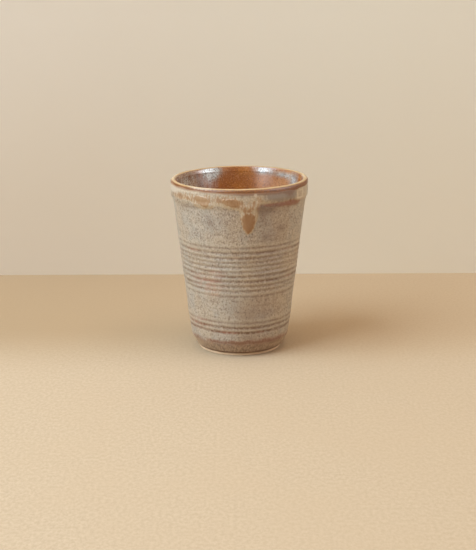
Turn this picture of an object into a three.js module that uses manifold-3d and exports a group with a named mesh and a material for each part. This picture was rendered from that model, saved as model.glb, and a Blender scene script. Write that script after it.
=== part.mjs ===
// A hand-thrown stoneware beaker: a straight flaring wall with fine turned grooves, bevelled in to a bare
// foot. It is built in the layers that the potter gave it: the clay, a liner glaze, a body glaze, a second
// coat that has run at the rim, a thin glaze over the lip, and amber pools where the second coat is thickest.
// Millimetres, +Z up. The origin is the centre of the circle that it stands on. The long run faces -Y.
import * as THREE from "three";
import { mergeVertices } from "three/addons/utils/BufferGeometryUtils.js";
import Module from "manifold-3d";

// Outside, over the glaze
const height = 100;
const lipRadius = 39.35;
const lipStep = 0.25; // the lip stands this far outside the body glaze below it
const lipBand = 3; // how far the lip glaze comes down
const heelRadius = 28.3; // corner between the wall and the bevel
const heelHeight = 8;
const bellySwell = 0.32; // the wall is this much fuller than straight, low down
const bellyHeight = 20;
const bellyReach = 10; // above and below bellyHeight
const bevelSwell = 0.3; // the bevel is this much fuller than straight, a third of the way up

// Foot, bare clay
const footRadius = 23.9;
const footHeight = 1.5; // the glaze line
const footRingWidth = 5;
const footRecess = 1.6;
const footRecessSlope = 0.8; // how far the recess draws in on its way up

// Clay and glaze together
const lipThickness = 3.2;
const wallThickness = 5.2; // where the wall meets the corner curve
const floorThickness = 5.2; // from the recess to the glazed floor
const cornerRadius = 9; // between the wall and the floor, inside

// Turned grooves, from the foot up. Depth is the depth in the clay
const grooves = [
  { height: 15.5, depth: 0.5 },
  { height: 18.5, depth: 0.5 },
  { height: 21.5, depth: 0.3 },
  { height: 37.5, depth: 0.3 },
  { height: 40.7, depth: 0.5 },
  { height: 43.4, depth: 0.5 },
  { height: 46.4, depth: 0.55 },
  { height: 49.5, depth: 0.5 },
  { height: 52.1, depth: 0.5 },
  { height: 54.9, depth: 0.55 },
  { height: 57.6, depth: 0.5 },
  { height: 60.2, depth: 0.5 },
  { height: 63.2, depth: 0.5 },
  { height: 66.3, depth: 0.3 },
];
const grooveHalfWidth = 1.45; // of a groove with no neighbour
const groovePool = 0.12; // the body glaze is this much thicker in a groove

// Glaze coats
const bodyGlazeThickness = 0.45;
const linerThickness = 0.45;
const lipGlazeThickness = 0.35;
const rimCoatThickness = 0.65;
const bondGap = 0.02; // kept between layers that are fused in the real beaker

// The rim coat's lower edge, and the runs that hang from it. A run's angle goes from -Y towards +X. Its angle
// and half width are in degrees, and its drop is in widths of the coat. Some runs hold an amber pool, whose
// half sizes are in widths of the coat too
const rimCoatWidth = 6.4; // from the lip glaze down to the edge
const runs = [
  { angle: -58, halfWidth: 12, drop: 0.22 },
  { angle: -31, halfWidth: 13, drop: 0.5, pool: { name: "amber_pool_left", across: 0.78, up: 0.53 } },
  { angle: -6, halfWidth: 11, drop: 0.38, pool: { name: "amber_pool_centre", across: 0.84, up: 0.42 } },
  { angle: 7.5, halfWidth: 7.5, drop: 2.7, pool: { name: "amber_run_front", across: 0.52, up: 0.95 } },
  { angle: 62, halfWidth: 10, drop: 0.19 },
  { angle: 96, halfWidth: 14, drop: 0.4 },
  { angle: 131, halfWidth: 12, drop: 0.7 },
  { angle: 163, halfWidth: 8, drop: 1.5 },
  { angle: 197, halfWidth: 15, drop: 0.35 },
  { angle: 236, halfWidth: 12, drop: 0.55 },
  { angle: 270, halfWidth: 13, drop: 0.28 },
];
const blankMargin = 3; // the coat is cut from a blank that goes this far below the longest run
const poolMargin = 1.2; // from a pool's bottom down to its run's
const poolRise = 0.35; // the crown of a pool above the coat
const poolDroop = 0.25; // a pool is this share wider at its top, and as much narrower at its bottom

// Smoothness of the faceted shapes
const turns = 40; // facets round the beaker
const edgeSteps = 120; // steps round the rim coat's lower edge
const lipSteps = 6;
const cornerSteps = 4;
const poolSteps = 16;

// Heights and offsets that follow from the sizes above
const lipRound = lipThickness / 2;
const lipCentre = height - lipRound;
const lipMiddle = lipRadius - lipRound;
const lipLine = height - lipBand;
const wallTopRadius = lipRadius - lipStep;
const floorLevel = footRecess + floorThickness;
const cornerTop = floorLevel + cornerRadius;
const bodyBack = bodyGlazeThickness + bondGap; // from the finished outside in to the clay
const linerBack = linerThickness + bondGap; // from the finished inside out to the clay
const lipBack = lipGlazeThickness + bondGap;
const rimCoatEdge = lipLine - rimCoatWidth;
const wellRadius = wallRadius(cornerTop) - wallThickness;

const wasm = await Module();
wasm.setup();

function between(a, b, share) {
  return a + (b - a) * share;
}

// Finished outside radius of the wall, without its grooves
function wallRadius(z) {
  const share = (z - heelHeight) / (lipLine - heelHeight);
  const fromBelly = Math.min(1, Math.abs(z - bellyHeight) / bellyReach);
  return between(heelRadius, wallTopRadius, share) + bellySwell * Math.cos((fromBelly * Math.PI) / 2) ** 2;
}

// Finished inside radius of the wall, above the corner curve
function bowlRadius(z) {
  return between(wellRadius, lipRadius - lipThickness, (z - cornerTop) / (lipCentre - cornerTop));
}

// Height of the crest beside a groove: halfway to a near neighbour, or else at the groove's half width
function crestBeside(groove, neighbour, side) {
  const near = neighbour && Math.abs(neighbour.height - groove.height) < 3 * grooveHalfWidth;
  return near ? (groove.height + neighbour.height) / 2 : groove.height + side * grooveHalfWidth;
}

// Heights at which the wall is drawn, bottom to top, each with the groove's depth there
function wallStations() {
  const depths = new Map([heelHeight, bellyHeight + bellyReach, lipLine].map((z) => [z, 0]));
  grooves.forEach((groove, i) => {
    depths.set(crestBeside(groove, grooves[i - 1], -1), 0);
    depths.set(groove.height, groove.depth);
    depths.set(crestBeside(groove, grooves[i + 1], 1), 0);
  });
  const stations = [...depths].map(([z, depth]) => ({ z, depth }));
  return stations.filter(({ z }) => z >= heelHeight && z <= lipLine).sort((a, b) => a.z - b.z);
}

// The outside, bottom to top, as points of radius and height. Inset is how far it lies below the finished
// glaze, and pooled is how much of each groove the glaze has filled.
function outsidePoints(inset, pooled) {
  const bevelFoot = footRadius + bodyBack;
  return [
    [bevelFoot - inset, footHeight],
    [between(bevelFoot, heelRadius, 1 / 3) + bevelSwell - inset, between(footHeight, heelHeight, 1 / 3)],
    ...wallStations().map(({ z, depth }) => [wallRadius(z) - inset - Math.max(0, depth - pooled), z]),
  ];
}

// The inside, top to bottom, from the lip line to the axis. Inset is how far it lies behind the glaze's face.
function insidePoints(inset) {
  const points = [
    [bowlRadius(lipLine) + inset, lipLine],
    [bowlRadius(cornerTop) + inset, cornerTop],
  ];
  for (let i = 1; i <= cornerSteps; i += 1) {
    const angle = (i / cornerSteps) * (Math.PI / 2);
    const reach = cornerRadius + inset;
    points.push([wellRadius - cornerRadius + reach * Math.cos(angle), cornerTop - reach * Math.sin(angle)]);
  }
  points.push([0, floorLevel - inset]);
  return points;
}

// The lip's arc, from the outside over to the inside
function lipPoints(inset) {
  return Array.from({ length: lipSteps + 1 }, (_, i) => {
    const angle = (i / lipSteps) * Math.PI;
    const reach = lipRound - inset;
    return [lipMiddle + reach * Math.cos(angle), lipCentre + reach * Math.sin(angle)];
  });
}

// A shape turned about Z from an anticlockwise outline of radius and height
function turned(outline) {
  const points = outline.map(([radius, z]) => new THREE.Vector2(radius, z));
  return new THREE.LatheGeometry(points, turns).rotateX(Math.PI / 2);
}

function closed(outline) {
  return [...outline, outline[0]];
}

function solidOf(geometry) {
  const bare = new THREE.BufferGeometry();
  bare.setAttribute("position", geometry.getAttribute("position"));
  bare.setIndex(geometry.getIndex());
  const merged = mergeVertices(bare, 1e-4);
  return new wasm.Manifold(
    new wasm.Mesh({
      numProp: 3,
      vertProperties: merged.getAttribute("position").array,
      triVerts: new Uint32Array(merged.getIndex().array),
    }),
  );
}

function geometryOf(solid) {
  const { vertProperties, triVerts } = solid.getMesh();
  const geometry = new THREE.BufferGeometry();
  geometry.setAttribute("position", new THREE.BufferAttribute(vertProperties, 3));
  geometry.setIndex(new THREE.BufferAttribute(triVerts, 1));
  geometry.computeVertexNormals();
  return geometry;
}

function clayBody() {
  const ringInside = footRadius - footRingWidth;
  return turned([
    [0, footRecess],
    [ringInside - footRecessSlope, footRecess],
    [ringInside, 0],
    [footRadius, 0],
    ...outsidePoints(bodyBack, 0),
    ...lipPoints(lipBack),
    ...insidePoints(linerBack),
  ]);
}

function bodyGlaze() {
  const front = outsidePoints(0, groovePool);
  const back = outsidePoints(bodyGlazeThickness, 0);
  return turned(closed([...front, ...back.reverse()]));
}

function linerGlaze() {
  const front = insidePoints(0);
  const back = insidePoints(linerThickness);
  return turned([...back.reverse(), ...front]);
}

// Caps the top edges of the clay, the body glaze, the rim coat and the liner
function lipGlaze() {
  const edge = lipLine + bondGap;
  return turned(
    closed([
      [lipRadius, edge],
      ...lipPoints(0),
      [bowlRadius(lipLine), edge],
      [bowlRadius(lipLine) + linerThickness, edge],
      ...lipPoints(lipGlazeThickness).reverse(),
      [wallTopRadius - bodyGlazeThickness, edge],
    ]),
  );
}

function runBottom(run) {
  return rimCoatEdge - run.drop * rimCoatWidth;
}

// Outside radius of the rim coat, which fills the step below the lip and never stands outside the lip
function rimCoatRadius(z) {
  return Math.min(lipRadius, wallRadius(z) + rimCoatThickness);
}

// Heights at which the rim coat is drawn, from below the longest run up to the lip glaze
function rimCoatHeights() {
  const bottom = Math.min(...runs.map(runBottom)) - blankMargin;
  const flare = (wallTopRadius - heelRadius) / (lipLine - heelHeight);
  const reachesLip = lipLine - (rimCoatThickness - lipStep) / flare;
  const heights = [bottom, reachesLip, lipLine, ...wallStations().map(({ z }) => z)];
  return [...new Set(heights.filter((z) => z >= bottom && z <= lipLine))].sort((a, b) => a - b);
}

// Height of the rim coat's lower edge at an angle in degrees. Long runs end round, and shallow ones swell.
function rimCoatEdgeAt(angle) {
  const drops = runs.map((run) => {
    const drop = rimCoatEdge - runBottom(run);
    const halfWidth = THREE.MathUtils.degToRad(run.halfWidth) * lipRadius;
    const roundness = THREE.MathUtils.clamp(halfWidth / drop, 0.5, 1);
    const away = THREE.MathUtils.euclideanModulo(angle - run.angle + 180, 360) - 180;
    return drop * Math.max(0, 1 - (away / run.halfWidth) ** 2) ** roundness;
  });
  return rimCoatEdge - Math.max(...drops);
}

// A ring that holds everything above the rim coat's lower edge
function aboveTheEdge() {
  const inner = heelRadius;
  const outer = 2 * lipRadius;
  const positions = [];
  const index = [];
  for (let i = 0; i < edgeSteps; i += 1) {
    const turn = (i / edgeSteps) * 2 * Math.PI;
    const edge = rimCoatEdgeAt(THREE.MathUtils.radToDeg(turn));
    for (const [radius, z] of [[inner, edge], [outer, edge], [outer, height], [inner, height]]) {
      positions.push(radius * Math.sin(turn), -radius * Math.cos(turn), z);
    }
    const here = i * 4;
    const next = ((i + 1) % edgeSteps) * 4;
    for (let corner = 0; corner < 4; corner += 1) {
      const after = (corner + 1) % 4;
      index.push(here + corner, next + corner, next + after, here + corner, next + after, here + after);
    }
  }
  const geometry = new THREE.BufferGeometry();
  geometry.setAttribute("position", new THREE.BufferAttribute(new Float32Array(positions), 3));
  geometry.setIndex(index);
  return geometry;
}

function rimGlaze() {
  const heights = rimCoatHeights();
  const front = heights.map((z) => [rimCoatRadius(z), z]);
  const back = heights.map((z) => [wallRadius(z) + bondGap, z]);
  const blank = turned(closed([...front, ...back.reverse()]));
  return geometryOf(solidOf(blank).intersect(solidOf(aboveTheEdge())));
}

// A drop that is bent round the wall, less what would lie in the rim coat
function amberPool(run) {
  const heights = rimCoatHeights();
  const coatFace = heights.map((z) => [rimCoatRadius(z) + bondGap, z]);
  const coat = turned([[0, heights[0]], ...coatFace, [0, lipLine]]);
  const halfWidth = run.pool.across * rimCoatWidth;
  const halfHeight = run.pool.up * rimCoatWidth;
  const middle = runBottom(run) + poolMargin + halfHeight;
  const drop = new THREE.SphereGeometry(1, poolSteps, poolSteps / 2);
  const point = new THREE.Vector3();
  const corners = drop.getAttribute("position");
  for (let i = 0; i < corners.count; i += 1) {
    point.fromBufferAttribute(corners, i);
    const z = middle + point.y * halfHeight;
    const along = point.x * halfWidth * (1 + poolDroop * point.y);
    const turn = THREE.MathUtils.degToRad(run.angle) + along / rimCoatRadius(middle);
    const radius = rimCoatRadius(z) + point.z * poolRise;
    corners.setXYZ(i, radius * Math.sin(turn), -radius * Math.cos(turn), z);
  }
  return geometryOf(solidOf(drop).subtract(solidOf(coat)));
}

// Materials
const bareClay = new THREE.MeshStandardMaterial({ color: 0xbfa27e, roughness: 0.85, metalness: 0 });
const oatmealGlaze = new THREE.MeshStandardMaterial({ color: 0xa38f76, roughness: 0.45, metalness: 0 });
const brownLiner = new THREE.MeshStandardMaterial({ color: 0x8a5630, roughness: 0.18, metalness: 0 });
const creamCoat = new THREE.MeshStandardMaterial({ color: 0xbfa684, roughness: 0.35, metalness: 0 });
const amberGlaze = new THREE.MeshStandardMaterial({ color: 0x95683f, roughness: 0.25, metalness: 0 });

function piece(name, geometry, material) {
  const mesh = new THREE.Mesh(geometry, material);
  mesh.name = name;
  return mesh;
}

const beaker = new THREE.Group();
beaker.add(
  piece("clay_body", clayBody(), bareClay),
  piece("liner_glaze", linerGlaze(), brownLiner),
  piece("body_glaze", bodyGlaze(), oatmealGlaze),
  piece("rim_glaze", rimGlaze(), creamCoat),
  piece("lip_glaze", lipGlaze(), amberGlaze),
  ...runs.filter((run) => run.pool).map((run) => piece(run.pool.name, amberPool(run), amberGlaze)),
);

export default beaker;
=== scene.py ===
# %% [markdown]
# # A stoneware beaker, coat by coat
# The beaker is one piece of thrown clay under several coats of glaze, each melted into the next. The frame
# holds every coat as a plain faceted solid at its real size. This file makes the surfaces that the eye sees:
# it reads the sizes from those solids, turns a finer skin for each coat, and mixes a glaze for each skin.

# %% Load the frame
import math

import bmesh
import bpy
import numpy as np
from mathutils import Matrix, Vector


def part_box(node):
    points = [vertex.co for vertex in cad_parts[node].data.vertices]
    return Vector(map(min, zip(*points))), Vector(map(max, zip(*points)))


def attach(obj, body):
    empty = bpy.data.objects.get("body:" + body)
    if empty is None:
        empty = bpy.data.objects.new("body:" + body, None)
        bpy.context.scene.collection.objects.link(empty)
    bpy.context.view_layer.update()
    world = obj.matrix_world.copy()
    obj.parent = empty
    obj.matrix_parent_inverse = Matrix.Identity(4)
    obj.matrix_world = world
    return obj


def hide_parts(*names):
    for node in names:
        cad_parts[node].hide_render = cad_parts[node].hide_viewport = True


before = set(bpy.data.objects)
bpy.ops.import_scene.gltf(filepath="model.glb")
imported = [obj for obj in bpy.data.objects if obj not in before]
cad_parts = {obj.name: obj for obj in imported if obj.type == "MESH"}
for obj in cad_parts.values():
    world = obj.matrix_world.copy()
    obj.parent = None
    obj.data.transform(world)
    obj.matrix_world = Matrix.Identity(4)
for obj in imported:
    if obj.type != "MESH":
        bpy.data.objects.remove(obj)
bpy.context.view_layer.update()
print("layers:", ", ".join(sorted(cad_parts)))

# %% [markdown]
# ## The camera
# The photograph looks down on the beaker from a little above, through a long lens. The lens and the place
# below come from a perspective fit of the rim and the foot, which a long lens draws as two nearly alike
# ellipses. A fitted camera was chosen over one placed by eye, because every later comparison leans on it.

# %% Place the camera
# The photograph's height and the length of its lens, both in pixels
PHOTO_HEIGHT = 550
LENS_PIXELS = 1237
SENSOR = 36
NEAREST = 0.01

eye = Vector((-0.00094, -0.70034, 0.22443))
look_down = math.radians(14.619)
tilt = math.radians(-0.27)

camera = bpy.data.objects.new("camera", bpy.data.cameras.new("camera"))
bpy.context.scene.collection.objects.link(camera)
camera.data.sensor_width = SENSOR
camera.data.lens = LENS_PIXELS * SENSOR / PHOTO_HEIGHT
camera.data.clip_start = NEAREST
aim = Matrix.Rotation(math.pi / 2 - look_down, 4, "X") @ Matrix.Rotation(tilt, 4, "Z")
camera.matrix_world = Matrix.Translation(eye) @ aim
bpy.context.scene.camera = camera
print(f"lens {camera.data.lens:.1f} mm, looking down {math.degrees(look_down):.1f} degrees")

# %% [markdown]
# ## Light
# The beaker stands in soft daylight from the upper left and a little from the front, so its shadow falls to
# the right and back, and has no edge. One very large lamp gives that, a softer warm one stands for the
# ceiling, and a weak one on the right for what the room sends back. Two white cards, at the front left and
# the front right, are seen only in the gloss: they make the gleams on the lip. The levels are set so that a
# pale sheet on the table shows about the colour that it was given.

# %% Hang the lamps
def lamp(name, place, target, size, power, colour):
    """A square soft lamp that faces its target. Place, target and size are in metres, power in watts."""
    light = bpy.data.lights.new(name, "AREA")
    light.shape = "SQUARE"
    light.size = size
    light.energy = power
    light.color = colour
    holder = bpy.data.objects.new(name, light)
    holder.location = place
    holder.rotation_mode = "QUATERNION"
    holder.rotation_quaternion = (Vector(target) - Vector(place)).to_track_quat("-Z", "Y")
    bpy.context.scene.collection.objects.link(holder)
    return holder


BEAKER_MIDDLE = (0, 0, 0.05)
COOL, WARM, WHITE = (0.64, 0.82, 1.0), (1.0, 0.81, 0.63), (0.86, 0.94, 1.0)
lamp("window", (-1.35, -0.75, 1.6), BEAKER_MIDDLE, size=1.5, power=58.8, colour=COOL)
lamp("ceiling", (0.3, -0.1, 1.6), BEAKER_MIDDLE, size=1.4, power=12, colour=WARM)
lamp("fill", (1.2, 0.08, 0.5), BEAKER_MIDDLE, size=0.8, power=2.6, colour=WHITE)
for name, place, power in [("left_card", (-0.85, -0.72, 0.54), 12), ("right_card", (1.0, -0.42, 0.54), 13)]:
    lamp(name, place, BEAKER_MIDDLE, size=0.6, power=power, colour=WHITE).visible_diffuse = False
bpy.context.scene.view_settings.view_transform = "Standard"

# %% [markdown]
# ## Glaze recipes as sums
# A glaze recipe reads best as a sum: so much cream, less where the coat is thin. The class below wraps one
# output of a material's nodes, so that such sums can be written as Python. Numbers go through Math nodes.
# Colours go through Mix nodes, and places through Vector Math, because a Math node would turn them grey.

# %% A wire that can be added and multiplied
class Wire:
    """One output in a material's node tree."""

    def __init__(self, tree, socket):
        self.tree = tree
        self.socket = socket

    def node(self, kind, settings=(), inputs=(), output=0):
        """Adds a node, sets it up, fills its sockets with values or wires, and returns one output."""
        made = self.tree.nodes.new("ShaderNode" + kind)
        for setting, value in dict(settings).items():
            setattr(made, setting, value)
        for name, value in dict(inputs).items():
            if isinstance(value, Wire):
                self.tree.links.new(value.socket, made.inputs[name])
            else:
                made.inputs[name].default_value = value
        return Wire(self.tree, made.outputs[output])

    def math(self, operation, *values):
        return self.node("Math", {"operation": operation}, enumerate(values))

    def __add__(self, other):
        return self.math("ADD", self, other)

    def __sub__(self, other):
        return self.math("SUBTRACT", self, other)

    def __rsub__(self, other):
        return self.math("SUBTRACT", other, self)

    def __mul__(self, other):
        return self.math("MULTIPLY", self, other)

    __radd__ = __add__
    __rmul__ = __mul__

    def most(self, other):
        return self.math("MAXIMUM", self, other)

    def step(self, low, high):
        """0 below low and 1 above high, with a smooth rise. It falls where low is the higher one."""
        ends = {0: self, 1: low, 2: high}
        return self.node("MapRange", {"interpolation_type": "SMOOTHSTEP"}, ends)

    def mix(self, bare, covered):
        """From the colour bare to the colour covered, as this wire goes from 0 to 1."""
        return self.node("Mix", {"data_type": "RGBA"}, {0: self, 6: bare, 7: covered}, 2)

    def stretched(self, x, y, z):
        """A place scaled along each axis. A factor below 1 draws the pattern out that way."""
        return self.node("VectorMath", {"operation": "MULTIPLY"}, {0: self, 1: (x, y, z)})

    def along(self, axis):
        """One number of a place: X, Y or Z."""
        return self.node("SeparateXYZ", inputs={0: self}, output=axis)

    def noise(self, size, detail=2.0, roughness=0.5):
        """Cloudy noise between 0 and 1, with lumps of about this size where the wire is a place."""
        amounts = {"Vector": self, "Scale": 1 / size, "Detail": detail, "Roughness": roughness}
        return self.node("TexNoise", inputs=amounts)

    def specks(self, spacing, size, share):
        """Round specks of about this size, on a share of the points of a random lattice."""
        amounts = {"Vector": self, "Scale": 1 / spacing}
        distance = self.node("TexVoronoi", inputs=amounts)
        lot = self.node("TexVoronoi", inputs=amounts, output="Color")
        lot = self.node("SeparateColor", inputs={0: lot})
        radius = size / spacing / 2
        return distance.step(radius * 1.3, radius * 0.7) * lot.step(share + 0.01, share)


print("a wire can be added, multiplied, stepped and mixed")

# %% Colours, layers and finishes
def tint(red, green, blue):
    """A colour as a paint chart gives it, from 0 to 255, as the linear value that a shader takes."""
    def linear(level):
        level = level / 255
        return level / 12.92 if level <= 0.04045 else ((level + 0.055) / 1.055) ** 2.4
    return (linear(red), linear(green), linear(blue), 1)


def layered(colour, *layers):
    """Colours laid one over another. Each layer is where it covers, how strongly, and its colour."""
    for cover, strength, paint in layers:
        colour = (cover * strength).mix(colour, paint)
    return colour


class Finish:
    """A named material with one shader, and the wires that a recipe starts from."""

    def __init__(self, name):
        self.material = bpy.data.materials.new(name)
        self.material.use_nodes = True
        self.tree = self.material.node_tree
        self.shader = self.tree.nodes["Principled BSDF"]
        self.start = Wire(self.tree, None)
        place = self.start.node("TexCoord", output="Object")
        self.place = place.node("VectorMath", {"operation": "SCALE"}, {0: place, "Scale": 1000})

    def field(self, name):
        """What the mesh says about its surface under this name."""
        return self.start.node("Attribute", {"attribute_name": name}, output="Fac")

    def patch(self, name, grain, ragged, low, high):
        """A field with its edge made ragged by a grain, stepped from low to high."""
        return (self.field(name) + (grain - 0.5) * ragged).step(low, high)

    def set(self, **values):
        """Sets the shader's sockets, each to a value or a wire. Spaces in their names are underscores."""
        for name, value in values.items():
            socket = self.shader.inputs[name.replace("_", " ")]
            if isinstance(value, Wire):
                self.tree.links.new(value.socket, socket)
            else:
                socket.default_value = value

    def finished(self, colour, roughness, bumps, depth, **more):
        """Sets the colour, the roughness and bumps of this depth in mm, and returns the material."""
        bump = {"Height": bumps, "Distance": depth / 1000, "Strength": 1.0}
        self.set(Base_Color=colour, Roughness=roughness, Normal=self.start.node("Bump", inputs=bump), **more)
        return self.material


print("middle grey on a chart is", round(tint(128, 128, 128)[0], 3), "in a shader")

# %% [markdown]
# ## Table and backdrop
# The table is a sheet of pale brown board with a fine fibrous grain, and a plain paper backdrop stands close
# behind the beaker. Both are flat, so the grain is left to the material. Some of their light is painted too:
# painted shade darkens the board towards the backdrop and the front of the board towards the right, painted
# light makes its back lighter towards the right, and the backdrop is painted lighter towards its top and its
# right. The backdrop is seen only from its front: from behind, the camera looks through it, and it still
# throws its warm light on the beaker. The room beyond is pale, and lights the shadows warmly.

# %% Lay the table
STAGE_REACH = 4.0


def sheet(name, corner_places, material):
    """A flat face of the stage, from its corners in metres."""
    mesh = bpy.data.meshes.new(name)
    mesh.from_pydata(corner_places, [], [range(len(corner_places))])
    mesh.materials.append(material)
    made = bpy.data.objects.new(name, mesh)
    bpy.context.scene.collection.objects.link(made)


def board_finish():
    board = Finish("pale_board")
    fibre = board.place.stretched(0.7, 0.5, 1).noise(1.15, detail=3, roughness=0.7)
    cloud = board.place.noise(60, detail=2)
    across = board.place.along("X").step(-160, 160)
    near = layered(
        fibre.step(0.3, 0.7).mix(tint(187, 164, 134), tint(202, 181, 151)),
        (cloud.step(0.3, 0.7), 0.35, tint(195, 171, 139)),
        # painted shade: the front of the board is darker towards the right
        (across, 0.35, tint(183, 159, 126)),
    )
    # painted light: the back of the board is lighter towards the right
    far = across.mix(tint(174, 148, 113), tint(184, 158, 124))
    far = layered(far, (fibre.step(0.6, 0.3), 0.3, tint(168, 140, 106)))
    # painted shade: the board is darker towards the backdrop
    colour = board.place.along("Y").step(-62, 34).mix(near, far)
    return board.finished(colour, 0.85, fibre, 0.04)


far = STAGE_REACH
sheet("table", [(-far, -far, 0), (far, -far, 0), (far, far, 0), (-far, far, 0)], board_finish())
print(f"table {2 * far:.0f} m wide")

# %% Hang the backdrop in a pale room
BACKDROP_BEHIND = 0.163
BACKDROP_TOP = 2.0


def paper_finish():
    paper = Finish("backdrop_paper")
    # painted light: the backdrop is lighter towards its top
    rise = paper.place.along("Z").step(30, 200) + (paper.place.noise(90, detail=3) - 0.5) * 0.3
    # painted light: the backdrop is lighter towards its right
    across = paper.place.along("X").step(-170, 120)
    low = across.mix(tint(222, 207, 184), tint(231, 219, 195))
    high = across.mix(tint(228, 216, 197), tint(233, 224, 204))
    paper.set(Base_Color=rise.mix(low, high), Roughness=0.9)
    behind = paper.start.node("NewGeometry", output="Backfacing")
    seen = paper.start.node("LightPath", output="Is Camera Ray")
    clear = paper.start.node("BsdfTransparent")
    shown = {0: behind * seen, 1: Wire(paper.tree, paper.shader.outputs[0]), 2: clear}
    face = paper.start.node("MixShader", inputs=shown)
    paper.tree.links.new(face.socket, paper.tree.nodes["Material Output"].inputs["Surface"])
    return paper.material


def pale_room():
    """A world that lights the scene warmly, and looks pale to the camera and in gloss."""
    room = bpy.data.worlds.new("room")
    bpy.context.scene.world = room
    room.use_nodes = True
    start = Wire(room.node_tree, None)
    glow = start.node("Background", inputs={0: (1.0, 0.71, 0.5, 1), 1: 0.31})
    seen = start.node("Background", inputs={0: tint(214, 197, 174), 1: 1.0})
    rays = [start.node("LightPath", output=f"Is {kind} Ray") for kind in ("Camera", "Glossy", "Transmission")]
    direct = rays[0].most(rays[1]).most(rays[2])
    face = start.node("MixShader", inputs={0: direct, 1: glow, 2: seen})
    room.node_tree.links.new(face.socket, room.node_tree.nodes["World Output"].inputs["Surface"])


back, top = BACKDROP_BEHIND, BACKDROP_TOP
sheet("backdrop", [(-far, back, 0), (far, back, 0), (far, back, top), (-far, back, top)], paper_finish())
pale_room()
print(f"backdrop {BACKDROP_BEHIND * 1000:.0f} mm behind the beaker")

# %% [markdown]
# ## Measuring the frame
# Each coat's solid was turned from a few straight steps, so its corners hold the whole profile. Reading them
# keeps this file in step with the frame. The straight steps are then rounded off as molten glaze would do it,
# by a running average, and the grooves are told from the wall because they lie below their neighbours.

# %% Read corners and rings
# Sizes are in mm from here on, and MM turns them into metres
MM = 0.001


def corners(node):
    """The corners of a CAD node as rows of x, y and z in mm."""
    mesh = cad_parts[node].data
    places = np.empty(len(mesh.vertices) * 3)
    mesh.vertices.foreach_get("co", places)
    return places.reshape(-1, 3) / MM


def rings(node, pick):
    """Heights of a turned node's rings, and the largest or smallest radius on each."""
    x, y, z = corners(node).T
    level = z.round(2)
    heights = np.unique(level)
    return heights, np.array([pick(np.hypot(x, y)[level == height]) for height in heights])


levels, faces = rings("body_glaze", max)
print(f"body glaze: {len(levels)} rings from {levels[0]} to {levels[-1]} mm")

# %% Tell the wall from its grooves, and round both off
FINE = 0.1
# A ring this far inside its neighbours is a groove, and the turned lines are drawn this much lower
LEAST_GROOVE, GROOVE_DROP = 0.15, 0.35
# How far corners are rounded off on the wall and in the grooves, and how deep glaze fills the grooves
CREST_MELT, GROOVE_MELT, GROOVE_FILL = 0.55, 0.36, 0.06
# Where the wall swells past its straight steps: how far, at what height, over what reach, and how flat
BELLY, BEAD = (0.2, 53, 14, 4), (0.38, 89.7, 1.7, 2)


def melted(values, spacing, softness):
    """A row of values, spacing apart, with its corners rounded off over about this many mm."""
    reach = int(3 * softness / spacing)
    bell = np.exp(-0.5 * (np.arange(-reach, reach + 1) * spacing / softness) ** 2)
    before = 2 * values[0] - values[reach:0:-1]
    after = 2 * values[-1] - values[-2:-reach - 2:-1]
    return np.convolve(np.concatenate([before, values, after]), bell / bell.sum(), "valid")


def swollen(far, middle, reach, flat):
    """How far the wall stands out round one height, at each of its heights."""
    return far * np.exp(-(((wall_heights - middle) / reach) ** flat))


share = (levels[1:-1] - levels[:-2]) / (levels[2:] - levels[:-2])
chord = faces[:-2] + (faces[2:] - faces[:-2]) * share
dips = np.concatenate([[False], faces[1:-1] < chord - LEAST_GROOVE, [False]])
groove_heights = levels[dips]

wall_heights = np.arange(levels[0], levels[-1] + FINE / 2, FINE)
sharp_crest = np.interp(wall_heights, levels[~dips], faces[~dips])
sharp_wall = np.interp(wall_heights, levels, faces)
wall_crest = melted(sharp_crest, FINE, CREST_MELT) + (swollen(*BELLY) + swollen(*BEAD))
groove_depth = np.maximum(melted(sharp_crest - sharp_wall, FINE, GROOVE_MELT) - GROOVE_FILL, 0)
print("grooves at", groove_heights, "mm")

# %% Read the cup and the lip
LIP_ROUND = 1.6

inside_levels, inside_faces = rings("liner_glaze", min)
floor_level = inside_levels[inside_faces < 0.01].max()
corner_top, lip_line = inside_levels[-2:]
well_radius, mouth_radius = inside_faces[-2:]
corner_radius = corner_top - floor_level
corner_middle = (well_radius - corner_radius, corner_top)

lip_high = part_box("lip_glaze")[1]
lip_radius = lip_high.x / MM
rim_top = lip_high.z / MM
lip_middle = (lip_radius - LIP_ROUND, rim_top - LIP_ROUND)
girth = 2 * math.pi * lip_radius
print("lip radius", round(lip_radius, 2), "mm; floor at", floor_level, "mm")

# %% [markdown]
# ## The hand of the potter
# Nothing thrown is truly round. The wall leans in and out by a tenth or two, the turned lines wander, and
# every edge of glaze is ragged. All of that is made from one kind of relief: a seeded sum of waves that
# closes on itself round the beaker. Every coat shares the same lean, so that no coat comes through another.

# %% Waves round the wall
WANDER = 0.14
FINGER_DEPTH, FINGER_PITCH = 0.05, 5.6


def waves(seed, across, up, count=14):
    """A random relief about level 0 and mostly within 1 of it, of waves this many mm across and up."""
    draw = np.random.default_rng(seed)
    laps = np.rint(girth / across * draw.uniform(0.6, 1.4, count)) * draw.choice([-1, 1], count)
    climbs = 2 * math.pi / up * draw.uniform(0.6, 1.4, count)
    phases = draw.uniform(0, 2 * math.pi, count)

    def relief(bearing, height):
        total = 0
        for lap, climb, phase in zip(laps, climbs, phases):
            total = total + np.cos(lap * bearing + climb * height + phase)
        return total / math.sqrt(2 * count)

    return relief


wander = waves(3, across=70, up=60)
uneven = waves(5, across=16, up=9)
rough = waves(7, across=5, up=4)
pull = waves(11, across=90, up=4.5)


def lean(bearing, height):
    """How far the pot stands in from a true circle, in mm, never outside it."""
    oval = -0.05 * np.cos(2 * bearing + 0.2) + 0.02 * np.cos(3 * bearing - 1.1 + height / 40)
    return oval - 0.07


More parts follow.
